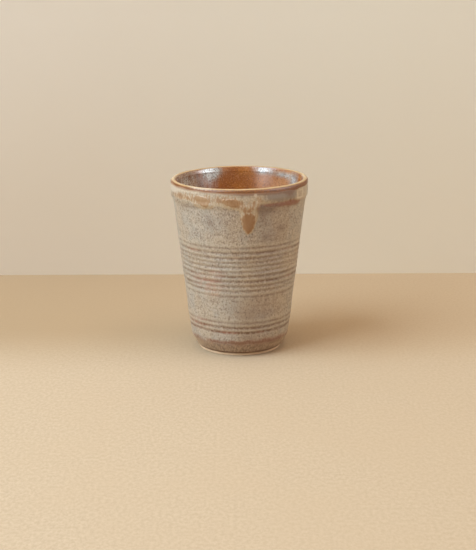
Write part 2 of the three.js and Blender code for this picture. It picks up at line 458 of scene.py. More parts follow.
def turned_level(bearing, height):
    """The height that a spot would have if the turned lines ran level."""
    return height + GROOVE_DROP + WANDER * wander(bearing, height)


def groove_at(bearing, height):
    """Depth of the turned grooves below the wall between them, in mm."""
    return np.interp(turned_level(bearing, height), wall_heights, groove_depth)


def wall(bearing, height):
    """Radius of the body glaze's face."""
    depth = groove_at(bearing, height) * (1 + 0.3 * uneven(bearing, height))
    ripple = 0.03 * pull(bearing, height) + 0.02 * rough(bearing, height)
    return np.interp(height, wall_heights, wall_crest) - depth + ripple + lean(bearing, height)


def bowl(bearing, height):
    """Radius of the liner glaze's face above the corner curve, with the rings that the fingers left."""
    straight = np.interp(height, [corner_top, lip_line], [well_radius, mouth_radius])
    rings_left = FINGER_DEPTH * np.cos(2 * math.pi * height / FINGER_PITCH + bearing)
    return straight - rings_left * np.clip((90 - height) / 12, 0, 1) + lean(bearing, height)


probe = np.radians(np.arange(0, 360, 5))
print(f"the lip leans in by up to {-lean(probe, 98.0).min():.2f} mm")

# %% [markdown]
# ## The rim coat's lower edge
# A second coat was poured over the rim and ran. Its edge decides where the colours change, so it's read from
# the frame's solid at every step round the beaker. Distance from the edge is kept as a field, in mm: the
# coat is thick well inside it, swells just before it, and sinks into the body glaze at it.

# %% Find the edge and the distance from it
# In degrees, between the frame's corners and between the steps that the edge is drawn in
EDGE_STEP, EDGE_FINE = 3, 0.4
# Spots lower than this below the edge aren't measured, and count as far from it
SEARCH, FAR_BELOW = 6, -30.0
BATCH = 4000

x, y, z = corners("rim_glaze").T
slot_count = 360 // EDGE_STEP
slots = np.rint(np.degrees(np.arctan2(x, -y)) / EDGE_STEP).astype(int) % slot_count
lowest = np.full(slot_count, np.inf)
np.minimum.at(lowest, slots, z)

fine_bearing = np.radians(np.arange(0, 360, EDGE_FINE))
known = np.flatnonzero(np.isfinite(lowest))
edge_height = np.interp(fine_bearing, np.radians(known * EDGE_STEP), lowest[known], period=2 * math.pi)
for depth, seed, across in [(0.35, 13, 4), (0.2, 14, 1.8)]:
    edge_height = edge_height + depth * waves(seed, across=across, up=30)(fine_bearing, 0)


def into_coat(bearing, height):
    """Distance in mm from the rim coat's lower edge, positive inside the coat."""
    bearing, height = np.broadcast_arrays(bearing, height)
    found = np.full(bearing.shape, FAR_BELOW)
    near = height > edge_height.min() - SEARCH
    spots = np.stack([bearing[near] % (2 * math.pi), height[near]], axis=1)
    away = []
    for some in np.array_split(spots, len(spots) // BATCH + 1):
        turn = (some[:, :1] - fine_bearing + math.pi) % (2 * math.pi) - math.pi
        away.append(np.hypot(turn * lip_radius, some[:, 1:] - edge_height).min(axis=1))
    above = spots[:, 1] > np.interp(spots[:, 0], fine_bearing, edge_height, period=2 * math.pi)
    found[near] = np.concatenate(away) * np.where(above, 1, -1)
    return found


print(f"the edge of the coat lies between {edge_height.min():.1f} and {edge_height.max():.1f} mm")

# %% Shape the coat's face by that distance
COAT = 0.62
SUNK = 0.12
SWELL = 0.07


def smooth(low, high, value):
    """0 below low and 1 above high, with a smooth rise. It falls where low is the higher one."""
    share = np.clip((value - low) / (high - low), 0, 1)
    return share * share * (3 - 2 * share)


def coat_face(bearing, height, inward):
    """Radius of the rim coat's face, this far in from its edge."""
    below = wall(bearing, height)
    room = np.clip(lip_radius + lean(bearing, height) - below, 0, COAT)
    swell = SWELL * np.exp(-(((inward - 2.2) / 1.3) ** 2)) * (room > 0.4)
    slope = 2.4 + np.cos(2 * bearing)
    thick = (room + swell + 0.05 * uneven(bearing, height)) * smooth(-0.5, slope, inward)
    return below + np.minimum(thick - SUNK * smooth(0.4, -0.8, inward), COAT + 0.1)


proud = coat_face(0.0, 93.0, 5.0) - wall(0.0, 93.0)
print(f"at the front, 93 mm up, the coat stands {proud:.2f} mm off the wall")

# %% [markdown]
# ## Where the colours lie
# The kiln left soft patches on the outside: iron tan where the rim coat lies thick, blue grey on its right,
# rust and umber where glaze thins over an edge, a red flush in some grooves, a toasted line over the bevel
# and dry spots on it. Some patches are painted light: painted shade over the front right of the wall, and
# painted highlight on the lip's crest among the pale ones. Each patch is a soft oval, given by its bearing
# from the front, its height, its half sizes and its strength. Lists of ovals were chosen over painted images,
# because they stay sharp at any size and can be read. Some grooves took more iron than others, so each has a
# tone of its own, from the foot up.

# %% Lay out the patches
# Each is (bearing in degrees to the right, height, half width in degrees, half height, strength)
TAN = [(-58, 93, 6, 2.8, 0.8), (-47, 93, 7, 2.4, 0.6), (-38, 92.4, 4, 3.0, 0.7), (-29, 93.4, 6, 2.8, 0.7),
       (-18, 93.8, 5, 2.4, 0.6), (-12, 94, 3, 2.6, 0.75), (-6, 93, 6, 2.5, 0.8), (0, 91.4, 4, 2.6, 0.65),
       (11, 92.6, 3, 2.2, 0.55), (16.5, 94.2, 2.5, 2.4, 0.6), (7.5, 87.8, 6.5, 3.0, 0.7),
       (-66, 92.6, 3, 2.4, 0.6), (-73, 93, 3, 2.2, 0.55), (-68, 95.2, 9, 2.0, 0.35),
       (150, 92, 14, 2.6, 0.8), (205, 93, 12, 2.2, 0.7), (226, 92, 7, 2.6, 0.8), (262, 92, 9, 2.4, 0.8),
       (102, 92.4, 8, 2.2, 0.6)]
BLUE = [(24, 94.4, 6, 2.4, 0.7), (34, 94.2, 8, 3.4, 1.0), (48, 94.4, 9, 3.6, 1.0), (5, 95.6, 6, 1.2, 0.6),
        (-76, 94, 8, 6, 0.5), (84, 94, 9, 3, 0.7), (180, 94.5, 16, 2.6, 0.8), (240, 94, 10, 3, 0.7)]
# Pale glaze, but the last three ovals, on the lip's crest, are painted highlight
PALE_AND_PAINTED_HIGHLIGHT = [(56, 94, 1.7, 2.1, 1.0), (65, 94, 2.0, 2.1, 1.0), (60.5, 91.7, 5, 0.65, 1.0),
        (60.5, 96.0, 4, 0.65, 0.9), (-70, 95.5, 13, 2.6, 0.65), (-42, 96.5, 22, 1.1, 0.65),
        (-48, 90.8, 13, 1.3, 0.7), (13, 96.4, 1.4, 1.0, 1.2), (-20, 91.6, 8, 1.6, 0.5),
        (16, 92.4, 4, 1.8, 0.6), (23, 93.6, 3.5, 2.0, 0.5), (5, 94.8, 5, 1.8, 0.5), (130, 95, 18, 2, 0.6),
        (270, 95, 20, 2, 0.6), (-96, 99.4, 24, 2.0, 0.6), (92, 99.4, 18, 2.0, 0.6), (-34, 100, 15, 1.4, 1.1)]
RUST = [(24, 90.2, 7, 1.3, 0.8), (36, 90.0, 8, 1.7, 0.9), (48, 90.0, 7, 2.0, 1.1), (57, 89.0, 6, 1.7, 0.7),
        (66, 90.2, 8, 1.0, 0.4), (125, 88, 14, 1.3, 0.8), (235, 88, 12, 1.2, 0.8)]
UMBER = [(18, 88.6, 4, 2.8, 1.0), (26, 87.4, 7, 2.2, 0.9), (32, 90.0, 6, 1.6, 0.6), (20, 82, 6, 5, 0.55),
         (-50, 88.4, 6, 1.8, 0.6), (-40, 88.0, 5, 1.6, 0.5), (-58, 86.4, 6, 2, 0.3),
         (-26, 80, 6, 5.5, 0.6), (-60, 80, 5, 6, 0.4), (44, 86.4, 9, 2.0, 0.5), (4, 26, 26, 12, 0.5),
         (6, 97.1, 18, 1.1, 0.9), (34, 97.2, 14, 1.3, 1.0), (46, 95.6, 6, 2.4, 0.8), (6, 12.0, 13, 2.0, 0.5),
         (40, 76, 7, 3, 0.7), (24, 72, 6, 3, 0.6), (170, 80, 10, 4, 0.5), (250, 84, 8, 4, 0.5),
         (120, 84, 16, 3, 0.5)]
FLUSH = [(-48, 63.2, 8, 1.4, 0.8), (-42, 46, 16, 4.4, 0.8), (-28, 43, 12, 4.2, 0.8), (-23, 50.5, 7, 2.8, 0.8),
         (-30, 38.5, 9, 2.2, 0.8), (-56, 18, 24, 4.2, 0.7), (-12, 15.5, 12, 1.4, 0.9),
         (24, 15.4, 6, 1.2, 0.6), (57, 46.4, 6, 1.4, 0.7), (52, 63.2, 7, 1.2, 0.6), (-3, 60.6, 3, 1.0, 0.7),
         (-46, 21.5, 8, 1.2, 0.8), (95, 55, 20, 8, 0.7), (200, 48, 26, 9, 0.8), (275, 58, 12, 6, 0.6)]
# Painted shade on the wall, mostly over its front right, where it turns away from the light
PAINTED_SHADE = [(30, 70, 19, 34, 1.0), (24, 20, 20, 22, 1.0), (-10, 84, 9, 12, 0.6), (150, 50, 40, 60, 0.6)]
HEEL = [(-62, 8.6, 16, 1.8, 0.7), (-30, 8.9, 13, 1.1, 1.1), (-8, 9.1, 10, 1.2, 1.2), (10, 9.2, 10, 1.3, 1.2),
        (30, 9.2, 12, 1.6, 1.0), (50, 9.0, 12, 1.6, 0.9), (72, 8.6, 14, 1.3, 0.6), (100, 8.8, 18, 1.2, 0.9),
        (135, 8.8, 16, 1.0, 0.9), (170, 8.8, 18, 1.3, 0.9), (210, 8.8, 18, 1.0, 0.8),
        (250, 8.6, 18, 1.3, 0.8)]
DRY = [(-72, 5, 24, 6, 1.0), (58, 4.5, 16, 3, 0.6), (180, 5, 30, 4, 0.5)]
PATCHES = {"painted_shade": PAINTED_SHADE, "tan": TAN, "blue": BLUE, "pale_and_painted_highlight": PALE_AND_PAINTED_HIGHLIGHT, "rust": RUST, "dry": DRY, "umber": UMBER,
           "flush": FLUSH}
# Where the cream stops short of its coat's edge, and by how many mm
SHY = [(-54, 90, 13, 40, 1.0)]
SHY_BY = 1.5
# How dark each groove is, from the foot up, at five bearings
GROOVE_TONES = {
    -45: [1.4, 1.3, 0.8, 0.4, 0.6, 0.9, 1.0, 0.9, 0.5, 0.5, 0.6, 0.6, 0.9, 0.7],
    -20: [1.7, 1.4, 0.6, 0.6, 0.5, 0.8, 1.0, 0.9, 0.8, 0.5, 0.6, 0.6, 0.7, 0.5],
    12: [1.7, 1.2, 0.7, 0.9, 0.4, 0.8, 1.2, 0.8, 0.4, 0.5, 0.5, 1.0, 1.0, 0.8],
    50: [1.4, 1.0, 0.8, 0.7, 0.3, 0.6, 1.3, 1.0, 0.3, 0.5, 0.3, 0.6, 1.1, 0.6],
    180: [0.9, 0.8, 0.5, 0.4, 0.6, 0.7, 0.9, 0.7, 0.6, 0.5, 0.5, 0.8, 0.7, 0.5],
}
print(f"{sum(map(len, [*PATCHES.values(), HEEL, SHY]))} patches, {len(GROOVE_TONES[180])} inked grooves")

# %% Read the patches at a spot
INK_REACH = 0.75


def laid(patches, bearing, height):
    """How strongly the patches cover each spot, from 0 to 1."""
    total = 0
    for middle, level, half_width, half_height, strength in patches:
        turn = (np.degrees(bearing) - middle + 180) % 360 - 180
        total = total + strength * np.exp(-((turn / half_width) ** 2) - ((height - level) / half_height) ** 2)
    return np.clip(total, 0, 1)


fade = waves(17, across=34, up=7)


def ink(bearing, height):
    """How dark the iron lies in the grooves: a soft line in each, with the groove's tone at this bearing."""
    level = turned_level(bearing, height)
    total = 0
    for groove, tones in zip(groove_heights, zip(*GROOVE_TONES.values())):
        tone = np.interp(np.degrees(bearing), list(GROOVE_TONES), tones, period=360)
        total = total + tone * np.exp(-(((level - groove) / INK_REACH) ** 2))
    return total * (0.85 + 0.35 * fade(bearing, height))


def grooved(height):
    """1 among the turned grooves, and 0 where the wall is plain."""
    away = np.abs(np.asarray(height)[..., None] - groove_heights).min(axis=-1)
    return smooth(2.4, 1.2, away)


def outside_fields(bearing, height, inward):
    """All that the outside's recipes ask of a mesh, for spots this far in from the rim coat's edge."""
    return {
        "height": height,
        "inward": inward - SHY_BY * laid(SHY, bearing, height),
        "grooved": grooved(height),
        "valley": groove_at(bearing, height) / groove_depth.max(),
        "ink": ink(bearing, height),
        "heel": laid(HEEL, bearing, height + 0.3 * uneven(bearing, 9.0)),
        **{name: laid(ovals, bearing, height) for name, ovals in PATCHES.items()},
    }


print("fields of the outside:", ", ".join(outside_fields(probe, 50.0, 1.0)))

# %% [markdown]
# ## Turning a skin
# A turned skin is a net of rows and columns: a row for each ring, a column for each bearing. A coat is a
# closed net, with a front and a back. Two makers do it all. One turns an outline that closes on itself or on
# the axis, and the other makes a shell from any part of a net, for coats that cover the wall only here and
# there.

# %% Points and quads of a net
def around(count):
    """One row of evenly spaced bearings, all the way round."""
    return np.linspace(0, 2 * math.pi, count, endpoint=False)[None, :]


def points(bearing, height, radius):
    """Places in metres, from bearings to the right of the front, heights and radii in mm."""
    bearing, height, radius = np.broadcast_arrays(bearing, height, radius)
    return np.stack([radius * np.sin(bearing), -radius * np.cos(bearing), height], axis=-1) * MM


def net_faces(rows, columns, wrap_rows=False, wrap_columns=True):
    """Corner numbers of the quads of a net, as rows of four."""
    row = np.arange(rows if wrap_rows else rows - 1)[:, None]
    column = np.arange(columns if wrap_columns else columns - 1)[None, :]
    right = (column + 1) % columns
    up = (row + 1) % rows
    quads = [row * columns + column, row * columns + right, up * columns + right, up * columns + column]
    return np.stack(quads, axis=-1).reshape(-1, 4)


print("a net of 3 rows and 4 columns has", len(net_faces(3, 4)), "quads")

# %% Two makers of pieces
CREASE = math.radians(50)


def piece(name, places, faces, fields, nodes):
    """A closed mesh with its fields, riding with the beaker in place of CAD nodes."""
    mesh = bpy.data.meshes.new(name)
    mesh.from_pydata(places.reshape(-1, 3).tolist(), [], faces.tolist())
    for field, values in fields.items():
        spread = np.broadcast_to(values, places.shape[:-1]).astype(np.float32)
        mesh.attributes.new(field, "FLOAT", "POINT").data.foreach_set("value", spread.ravel())
    tidy = bmesh.new()
    tidy.from_mesh(mesh)
    bmesh.ops.remove_doubles(tidy, verts=tidy.verts, dist=1e-7)
    bmesh.ops.dissolve_degenerate(tidy, edges=tidy.edges, dist=1e-7)
    loose = [corner for corner in tidy.verts if not corner.link_faces]
    bmesh.ops.delete(tidy, geom=loose, context="VERTS")
    bmesh.ops.recalc_face_normals(tidy, faces=tidy.faces)
    open_edges = sum(not edge.is_manifold for edge in tidy.edges)
    tidy.to_mesh(mesh)
    tidy.free()
    mesh.shade_smooth()
    mesh.set_sharp_from_angle(angle=CREASE)
    made = bpy.data.objects.new(name, mesh)
    bpy.context.scene.collection.objects.link(made)
    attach(made, "root")
    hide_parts(*nodes)
    print(f"{name}: {2 * len(mesh.polygons)} triangles, {open_edges} open edges")
    return made


def turned(name, bearing, height, radius, fields, nodes, wrap_rows=False):
    """A piece turned all the way round from rows of heights and radii."""
    places = points(bearing, height, radius)
    return piece(name, places, net_faces(*places.shape[:2], wrap_rows), fields, nodes)


def shell(name, front, back, inside, fields, nodes, wrap_columns=True):
    """A closed shell from the part of a net that is inside, closed round its border from front to back."""
    count = inside.size
    quads = net_faces(*inside.shape, wrap_columns=wrap_columns)
    quads = quads[inside.ravel()[quads].all(axis=1)]
    sides = np.concatenate([quads[:, [i, (i + 1) % 4]] for i in range(4)])
    names = np.sort(sides, axis=1)
    _, first, times = np.unique(names[:, 0] * count + names[:, 1], return_index=True, return_counts=True)
    border = sides[first[times == 1]]
    walls = np.stack([border[:, 1], border[:, 0], border[:, 0] + count, border[:, 1] + count], axis=1)
    faces = np.concatenate([quads, quads[:, ::-1] + count, walls])
    places = np.stack([front, back])
    both = {field: np.stack([values, values]) for field, values in fields.items()}
    return piece(name, places, faces, both, nodes)


print(f"edges sharper than {math.degrees(CREASE):.0f} degrees stay sharp")

# %% [markdown]
# ## The clay
# Under the glaze is one piece of clay, and only its foot is bare: a narrow ring with a turned recess inside
# it. The clay is one closed outline, from the middle of the recess out round the foot, up under the body
# glaze, over the lip and down into the cup. Turning it whole gives a solid that could be fired as it is.

# %% Turn the clay
CLAY_TURNS = 288
# How deep the clay lies below the glaze's face on the lip and the floor, how much more on the wall, and how
# deep in the bowl
GLAZED, UNDER_WALL, UNDER_BOWL = 0.47, 0.1, 0.6
# The foot's outline is walked in steps of the first, and rounded over about the second
FOOT_STEP, FOOT_SOFT = 0.22, 0.28
FOOT_TOP, WALL_START = 2.4, 3.2
RECESS_SLOPE = 0.8
# How deep the turning marks are, and how fast they follow each other, in radians per mm
MARK_DEPTH, MARK_RATE = 0.05, 5.2

foot_radius = rings("clay_body", max)[1][0]
recess_levels, recess_faces = rings("clay_body", min)
ring_inside = recess_faces[0]
recess_level = recess_levels[recess_faces < 0.01].min()
recess_radius = ring_inside - RECESS_SLOPE


def softened(outline, spacing, softness):
    """An outline of (radius, height) walked in even steps, with its corners rounded off."""
    outline = np.array(outline, float)
    walked = np.concatenate([[0], np.cumsum(np.hypot(*np.diff(outline, axis=0).T))])
    steps = np.linspace(0, walked[-1], int(walked[-1] / spacing) + 1)
    even = [melted(np.interp(steps, walked, side), spacing, softness) for side in outline.T]
    return np.stack(even, axis=1)


def arc(middle, radius, start, end, count):
    """Points of (radius, height) on an arc, its angles in degrees from outward, anticlockwise."""
    angles = np.radians(np.linspace(start, end, count))
    return [(middle[0] + radius * np.cos(a), middle[1] + radius * np.sin(a)) for a in angles]


def turn_clay():
    """Turns the outline from the recess round the foot, up the wall, over the lip and down into the cup."""
    underside = softened([(0, recess_level), (recess_radius, recess_level), (ring_inside, 0),
                          (foot_radius, 0), (foot_radius, FOOT_TOP)], FOOT_STEP, FOOT_SOFT)
    underside[:, 1] = np.maximum(underside[:, 1], 0)
    underside[0, 0] = 0
    climb = np.arange(WALL_START, 97, 1.2)
    outside = zip(np.interp(climb, wall_heights, wall_crest) - GLAZED - UNDER_WALL, climb)
    over = arc(lip_middle, LIP_ROUND - GLAZED, 0, 180, 9)
    down = [(bowl(0.0, z) + UNDER_BOWL, z) for z in np.arange(96.5, corner_top, -1.6)]
    corner = arc(corner_middle, corner_radius + GLAZED, 0, -90, 12)
    into = [(radius, floor_level - GLAZED) for radius in (10, 5, 0)]
    outline = np.array([*underside, *outside, *over, *down, *corner, *into])
    bearing = around(CLAY_TURNS)
    radius, height = outline[:, :1], outline[:, 1:]
    marks = MARK_DEPTH * np.sin(radius * MARK_RATE + bearing)
    marks = marks * smooth(1.0, 3.0, radius) * (radius < recess_radius - 0.5)
    height = height + marks * (height < 2.0) * (height > 1.0)
    radius = np.maximum(radius + lean(bearing, height) * smooth(4, 14, radius), 0)
    fields = {"height": height, "out": radius}
    return turned("clay", bearing, height, radius, fields, ["clay_body"])


clay = turn_clay()

# %% [markdown]
# ## The body glaze
# The body glaze follows the wall and its grooves, and ends just above the foot in a rounded roll, where the
# potter wiped it back before firing. The rows of its net lie close in the grooves and wide on plain wall, so
# that each groove is a real hollow and the piece stays light.

# %% Turn the body glaze
BODY_TURNS = 330
# The coat's thickness, how far its back sinks into the clay, and how much further above the foot
BODY_GLAZE, BACK_SUNK, DEEPER = 0.45, 0.03, 0.12
ROLL = 0.7
# Rises between rows: in the roll, on plain wall, and how much less in the grooves
ROLL_RISE, PLAIN_RISE, GROOVE_LESS = 0.12, 0.8, 0.46
glaze_line = levels[0]


def row_heights():
    """Heights of the net's rows: close in the grooves and at the roll, wide elsewhere."""
    heights = [glaze_line]
    while heights[-1] < lip_line:
        rolling = heights[-1] < glaze_line + ROLL
        rise = ROLL_RISE if rolling else PLAIN_RISE - GROOVE_LESS * grooved(heights[-1])
        heights.append(heights[-1] + float(rise))
    return np.array(heights[:-1] + [lip_line])


def wiped(bearing, rows):
    """The rows of the net, made uneven towards the line where the potter wiped the glaze back."""
    ragged = 0.16 * uneven(bearing, 1.0) + 0.07 * rough(bearing, 1.0)
    return rows + ragged * np.exp(-(rows - glaze_line) / 1.5)


def turn_body_glaze():
    bearing = around(BODY_TURNS)
    rows = row_heights()[:, None]
    height = wiped(bearing, rows)
    climb = np.clip((rows - glaze_line) / ROLL, 0, 1)
    rolled = np.sqrt(1 - (1 - climb) ** 2)
    front = wall(bearing, height) - (BODY_GLAZE + BACK_SUNK) * (1 - rolled)
    back_rows = rows[::3] if len(rows) % 3 == 1 else np.concatenate([rows[::3], rows[-1:]])
    back_height = wiped(bearing, back_rows[::-1])
    crest = np.interp(back_height, wall_heights, wall_crest)
    back = crest - BODY_GLAZE - BACK_SUNK + lean(bearing, back_height) - DEEPER * (back_height > 6)
    height = np.concatenate([height, back_height])
    radius = np.concatenate([front, back])
    fields = outside_fields(bearing, height, into_coat(bearing, height))
    return turned("oatmeal_coat", bearing, height, radius, fields, ["body_glaze"],
                  wrap_rows=True)


body_coat = turn_body_glaze()

# %% [markdown]
# ## The rim coat and its runs
# The second coat is a shell that covers the wall down to its ragged edge. It's made from a net over the whole
# band, of which only the quads inside the edge are kept. Its last millimetre sinks into the body glaze, so
# that the edge seen is where the two surfaces meet, and it stays smooth at any zoom.

# %% Lay the rim coat
COAT_TURNS = 400
COAT_ROW = 0.42
# How far the coat runs on hidden past its edge, and how deep its back lies in the body glaze
HIDDEN, COAT_BACK = 0.9, 0.28


def lay_rim_coat():
    bearing = around(COAT_TURNS)
    height = np.arange(edge_height.min() - 2, lip_line + 0.3, COAT_ROW)[:, None]
    inward = into_coat(bearing, height)
    front = points(bearing, height, coat_face(bearing, height, inward))
    back = points(bearing, height, wall(bearing, height) - COAT_BACK)
    fields = outside_fields(bearing, height, inward)
    return shell("cream_coat", front, back, inward > -HIDDEN, fields, ["rim_glaze"])


rim_coat = lay_rim_coat()

# %% [markdown]
# ## The amber pools
# Where the rim coat ran thick, iron gathered in it and stayed liquid longest, so it set as smooth brown
# drops that stand a little proud. Each drop is a fine net on the coat's face, raised to a low dome inside
# its own ragged outline and sunk under the coat at its border.

# %% Set the amber drops
DROP_STEP = 0.22
DROP_RISE = 0.22
# How deep a drop's border sinks into the coat, and how deep its back lies
DROP_SUNK, DROP_BACK = 0.12, 0.25
# The net reaches this many times the drop's size, and is kept this far outside the drop's outline
NET_WIDE, NET_TALL, KEPT = 1.25, 1.15, -0.1


def drop_outline(node, seed, point, wide, skew, lower):
    """A function that says how far inside a drop a spot lies: 1 in the middle, 0 on the outline.

    A point above 0 draws the drop in towards its foot, a skew moves its foot to the right, and lower is how
    many mm further down its foot reaches. The top of a drop is flatter than its foot."""
    low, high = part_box(node)
    half_up = (high.z - low.z) / 2 / MM + lower / 2
    level = (high.z + low.z) / 2 / MM - lower / 2
    x, y, _ = corners(node).T
    bearings = np.arctan2(x, -y)
    middle = (bearings.max() + bearings.min()) / 2
    half_across = (bearings.max() - bearings.min()) / 2 * lip_radius * wide
    print(f"{node} at {math.degrees(middle):.1f} degrees and {level:.1f} mm, "
          f"{2 * half_across:.1f} by {2 * half_up:.1f} mm")
    ragged = waves(seed, across=3.2, up=3.2)
    streaky = waves(seed + 1, across=1.7, up=9)

    def inside(bearing, height):
        up = (height - level) / half_up
        across = (bearing - middle) * lip_radius / half_across + skew * up
        reach = np.abs(up) ** np.where(up > 0, 2.2, 1.25)
        plain = 1 - np.hypot(across / (1 + point * np.clip(up, -1.5, 0.3)), reach)
        return plain + 0.1 * ragged(bearing, height) + 0.14 * streaky(bearing, height) * smooth(-0.4, 0.2, up)

    return inside, middle, level, half_across, half_up


def set_drop(name, node, seed, iron, point, wide=1.0, skew=0.0, lower=0.0):
    """A dome on the coat's face, as brown as its iron says, with the outline that the rest describes."""
    inside, middle, level, half_across, half_up = drop_outline(node, seed, point, wide, skew, lower)
    reach = half_across / lip_radius * NET_WIDE
    bearing = middle + np.arange(-reach, reach, DROP_STEP / lip_radius)[None, :]
    height = np.arange(level - half_up * NET_TALL, level + half_up * NET_TALL, DROP_STEP)[:, None]
    depth = inside(bearing, height)
    inward = into_coat(bearing, height)
    coat = coat_face(bearing, height, inward)
    dome = DROP_RISE * smooth(0.0, 0.55, depth) - DROP_SUNK * smooth(0.04, -0.08, depth)
    front = points(bearing, height, np.minimum(coat + dome, lip_radius + 0.1))
    back = points(bearing, height, coat - DROP_BACK)
    fields = outside_fields(bearing, height, inward)
    fields["depth"] = depth
    fields["iron"] = iron * smooth(0.0, 0.5, depth)
    return shell(name, front, back, depth > KEPT, fields, [node], wrap_columns=False)


drops = [
    set_drop("amber_drop_front", "amber_run_front", seed=21, iron=1.0, point=0.25, wide=1.28, lower=0.6),
    set_drop("amber_drop_left", "amber_pool_left", seed=24, iron=0.2, point=0.5, wide=0.95, skew=0.35),
    set_drop("amber_drop_centre", "amber_pool_centre", seed=27, iron=0.5, point=0.4, skew=0.3),
]

# %% [markdown]
# ## The liner glaze
# Inside, a glossy brown glaze lines the cup from under the lip to the middle of the floor. It keeps the soft
# rings of the potter's fingers, and a pale haze hangs in it under the lip, whitest below the two gleams. It
# is partly the glaze's own haze and partly painted reflection, which carries the gleams down the wall. The
# shell
# is one outline: up its back, over its hidden top edge and down its face, closed on the axis at both ends.

# %% Line the cup
LINER_TURNS = 256
# The coat's thickness, and how far its back sinks into the clay
LINER, LINER_SUNK = 0.45, 0.1
# The spiral that the fingers left on the floor: its depth, and its rate in radians per mm
SWIRL_DEPTH, SWIRL_RATE = 0.12, 1.25
# Blue grey haze, partly painted reflection below the gleams, and a pinkish tan blush, partly painted light on
# the inner right wall, in the same form as the patches outside
HAZE_AND_PAINTED_GLEAM = [(208, 97.5, 8, 5, 1.3), (211, 86, 12, 9, 0.3), (234, 90, 17, 16, 0.75), (258, 90, 16, 12, 0.8),
        (198, 97.5, 14, 4, 0.3), (157, 98, 10, 3, 0.9), (115, 92.5, 9, 7, 1.0), (134, 96.6, 13, 2.2, 0.8),
        (30, 90, 30, 12, 0.7), (330, 92, 24, 10, 0.7)]
# Painted light: the oval at 128 degrees lightens the inner right wall where the window lights it
BLUSH_AND_PAINTED_LIGHT = [(128, 88, 26, 18, 0.8), (205, 70, 20, 14, 0.5), (60, 80, 26, 14, 0.6), (300, 76, 26, 14, 0.5)]


def inside_fields(bearing, height):
    """What the liner's recipe asks of a mesh."""
    return {"haze_and_painted_gleam": laid(HAZE_AND_PAINTED_GLEAM, bearing, height), "blush_and_painted_light": laid(BLUSH_AND_PAINTED_LIGHT, bearing, height)}


def line_the_cup():
    """Turns the outline from under the floor up the back, over the top edge and down the face."""
    bearing = around(LINER_TURNS)
    climbs = np.arange(corner_top, lip_line + 0.5, 0.6)
    floor_steps = np.linspace(corner_middle[0], 0, 24)[1:]
    swirl = [SWIRL_DEPTH * np.cos(radius * SWIRL_RATE + bearing) * smooth(0.0, 3.0, radius)
             * smooth(15.0, 11.0, radius) for radius in floor_steps]
    rows = [
        *[(radius, floor_level - LINER) for radius in floor_steps[::-1]],
        *arc(corner_middle, corner_radius + LINER, 0, -90, 24)[:0:-1],
        *[(bowl(bearing, height) + LINER + LINER_SUNK, height) for height in climbs[::2]],
        *[(bowl(bearing, height), height) for height in climbs[::-1]],
        *arc(corner_middle, corner_radius, 0, -90, 24)[1:],
        *[(radius, floor_level + relief) for radius, relief in zip(floor_steps, swirl)],
    ]
    radius, height = (np.concatenate([np.broadcast_to(row[side], bearing.shape) for row in rows])
                      for side in (0, 1))
    leaning = lean(bearing, height) * smooth(4, 14, radius)
    radius = np.where(height < corner_top, np.maximum(radius + leaning, 0), radius)
    fields = inside_fields(bearing, height)
    return turned("brown_liner", bearing, height, radius, fields, ["liner_glaze"])


liner = line_the_cup()

# %% [markdown]
# ## The lip
# Glaze runs off a sharp edge and stays thick beside it. On the lip it breaks to a thin amber line outside and
# a pale golden crest, which is partly painted highlight, strongest at the front. The liner's brown comes up
# its long inner shoulder, which catches the gleams. The lip is one closed ring that caps the other coats, and
# its two skirts sink into them.

# %% Cap the lip
LIP_TURNS = 384
# How far the skirts reach below the lip line, and how thick the cap is over the crest
SKIRT, CAP = 0.9, 0.7
AMBER_LOW = 97.5


def inner_shoulder(crest):
    """The lip from its crest down its inside, as (radius, height): tight at the crest, then a long easing."""
    steep = np.linspace(90, 9, 25)
    bend = 1.1 + 0.9 * smooth(50, 35, steep) + 4.5 * smooth(26, 12, steep)
    eased = np.radians(steep[:-1] - steep[1:])
    midway = np.radians((steep[:-1] + steep[1:]) / 2)
    walked = (bend[:-1] + bend[1:]) / 2 * eased
    radius = crest[0] - np.cumsum(walked * np.sin(midway))
    height = crest[1] - np.cumsum(walked * np.cos(midway))
    return list(zip(radius, height))


def amber_edge(bearing):
    """Height where the amber begins: a little higher at the left, and lower at the right."""
    turn = np.degrees(bearing + math.pi) % 360 - 180
    higher, lower = np.exp(-(((turn + 60) / 35) ** 2)), np.exp(-(((turn - 55) / 22) ** 2))
    return AMBER_LOW + 0.5 * higher - 0.7 * lower


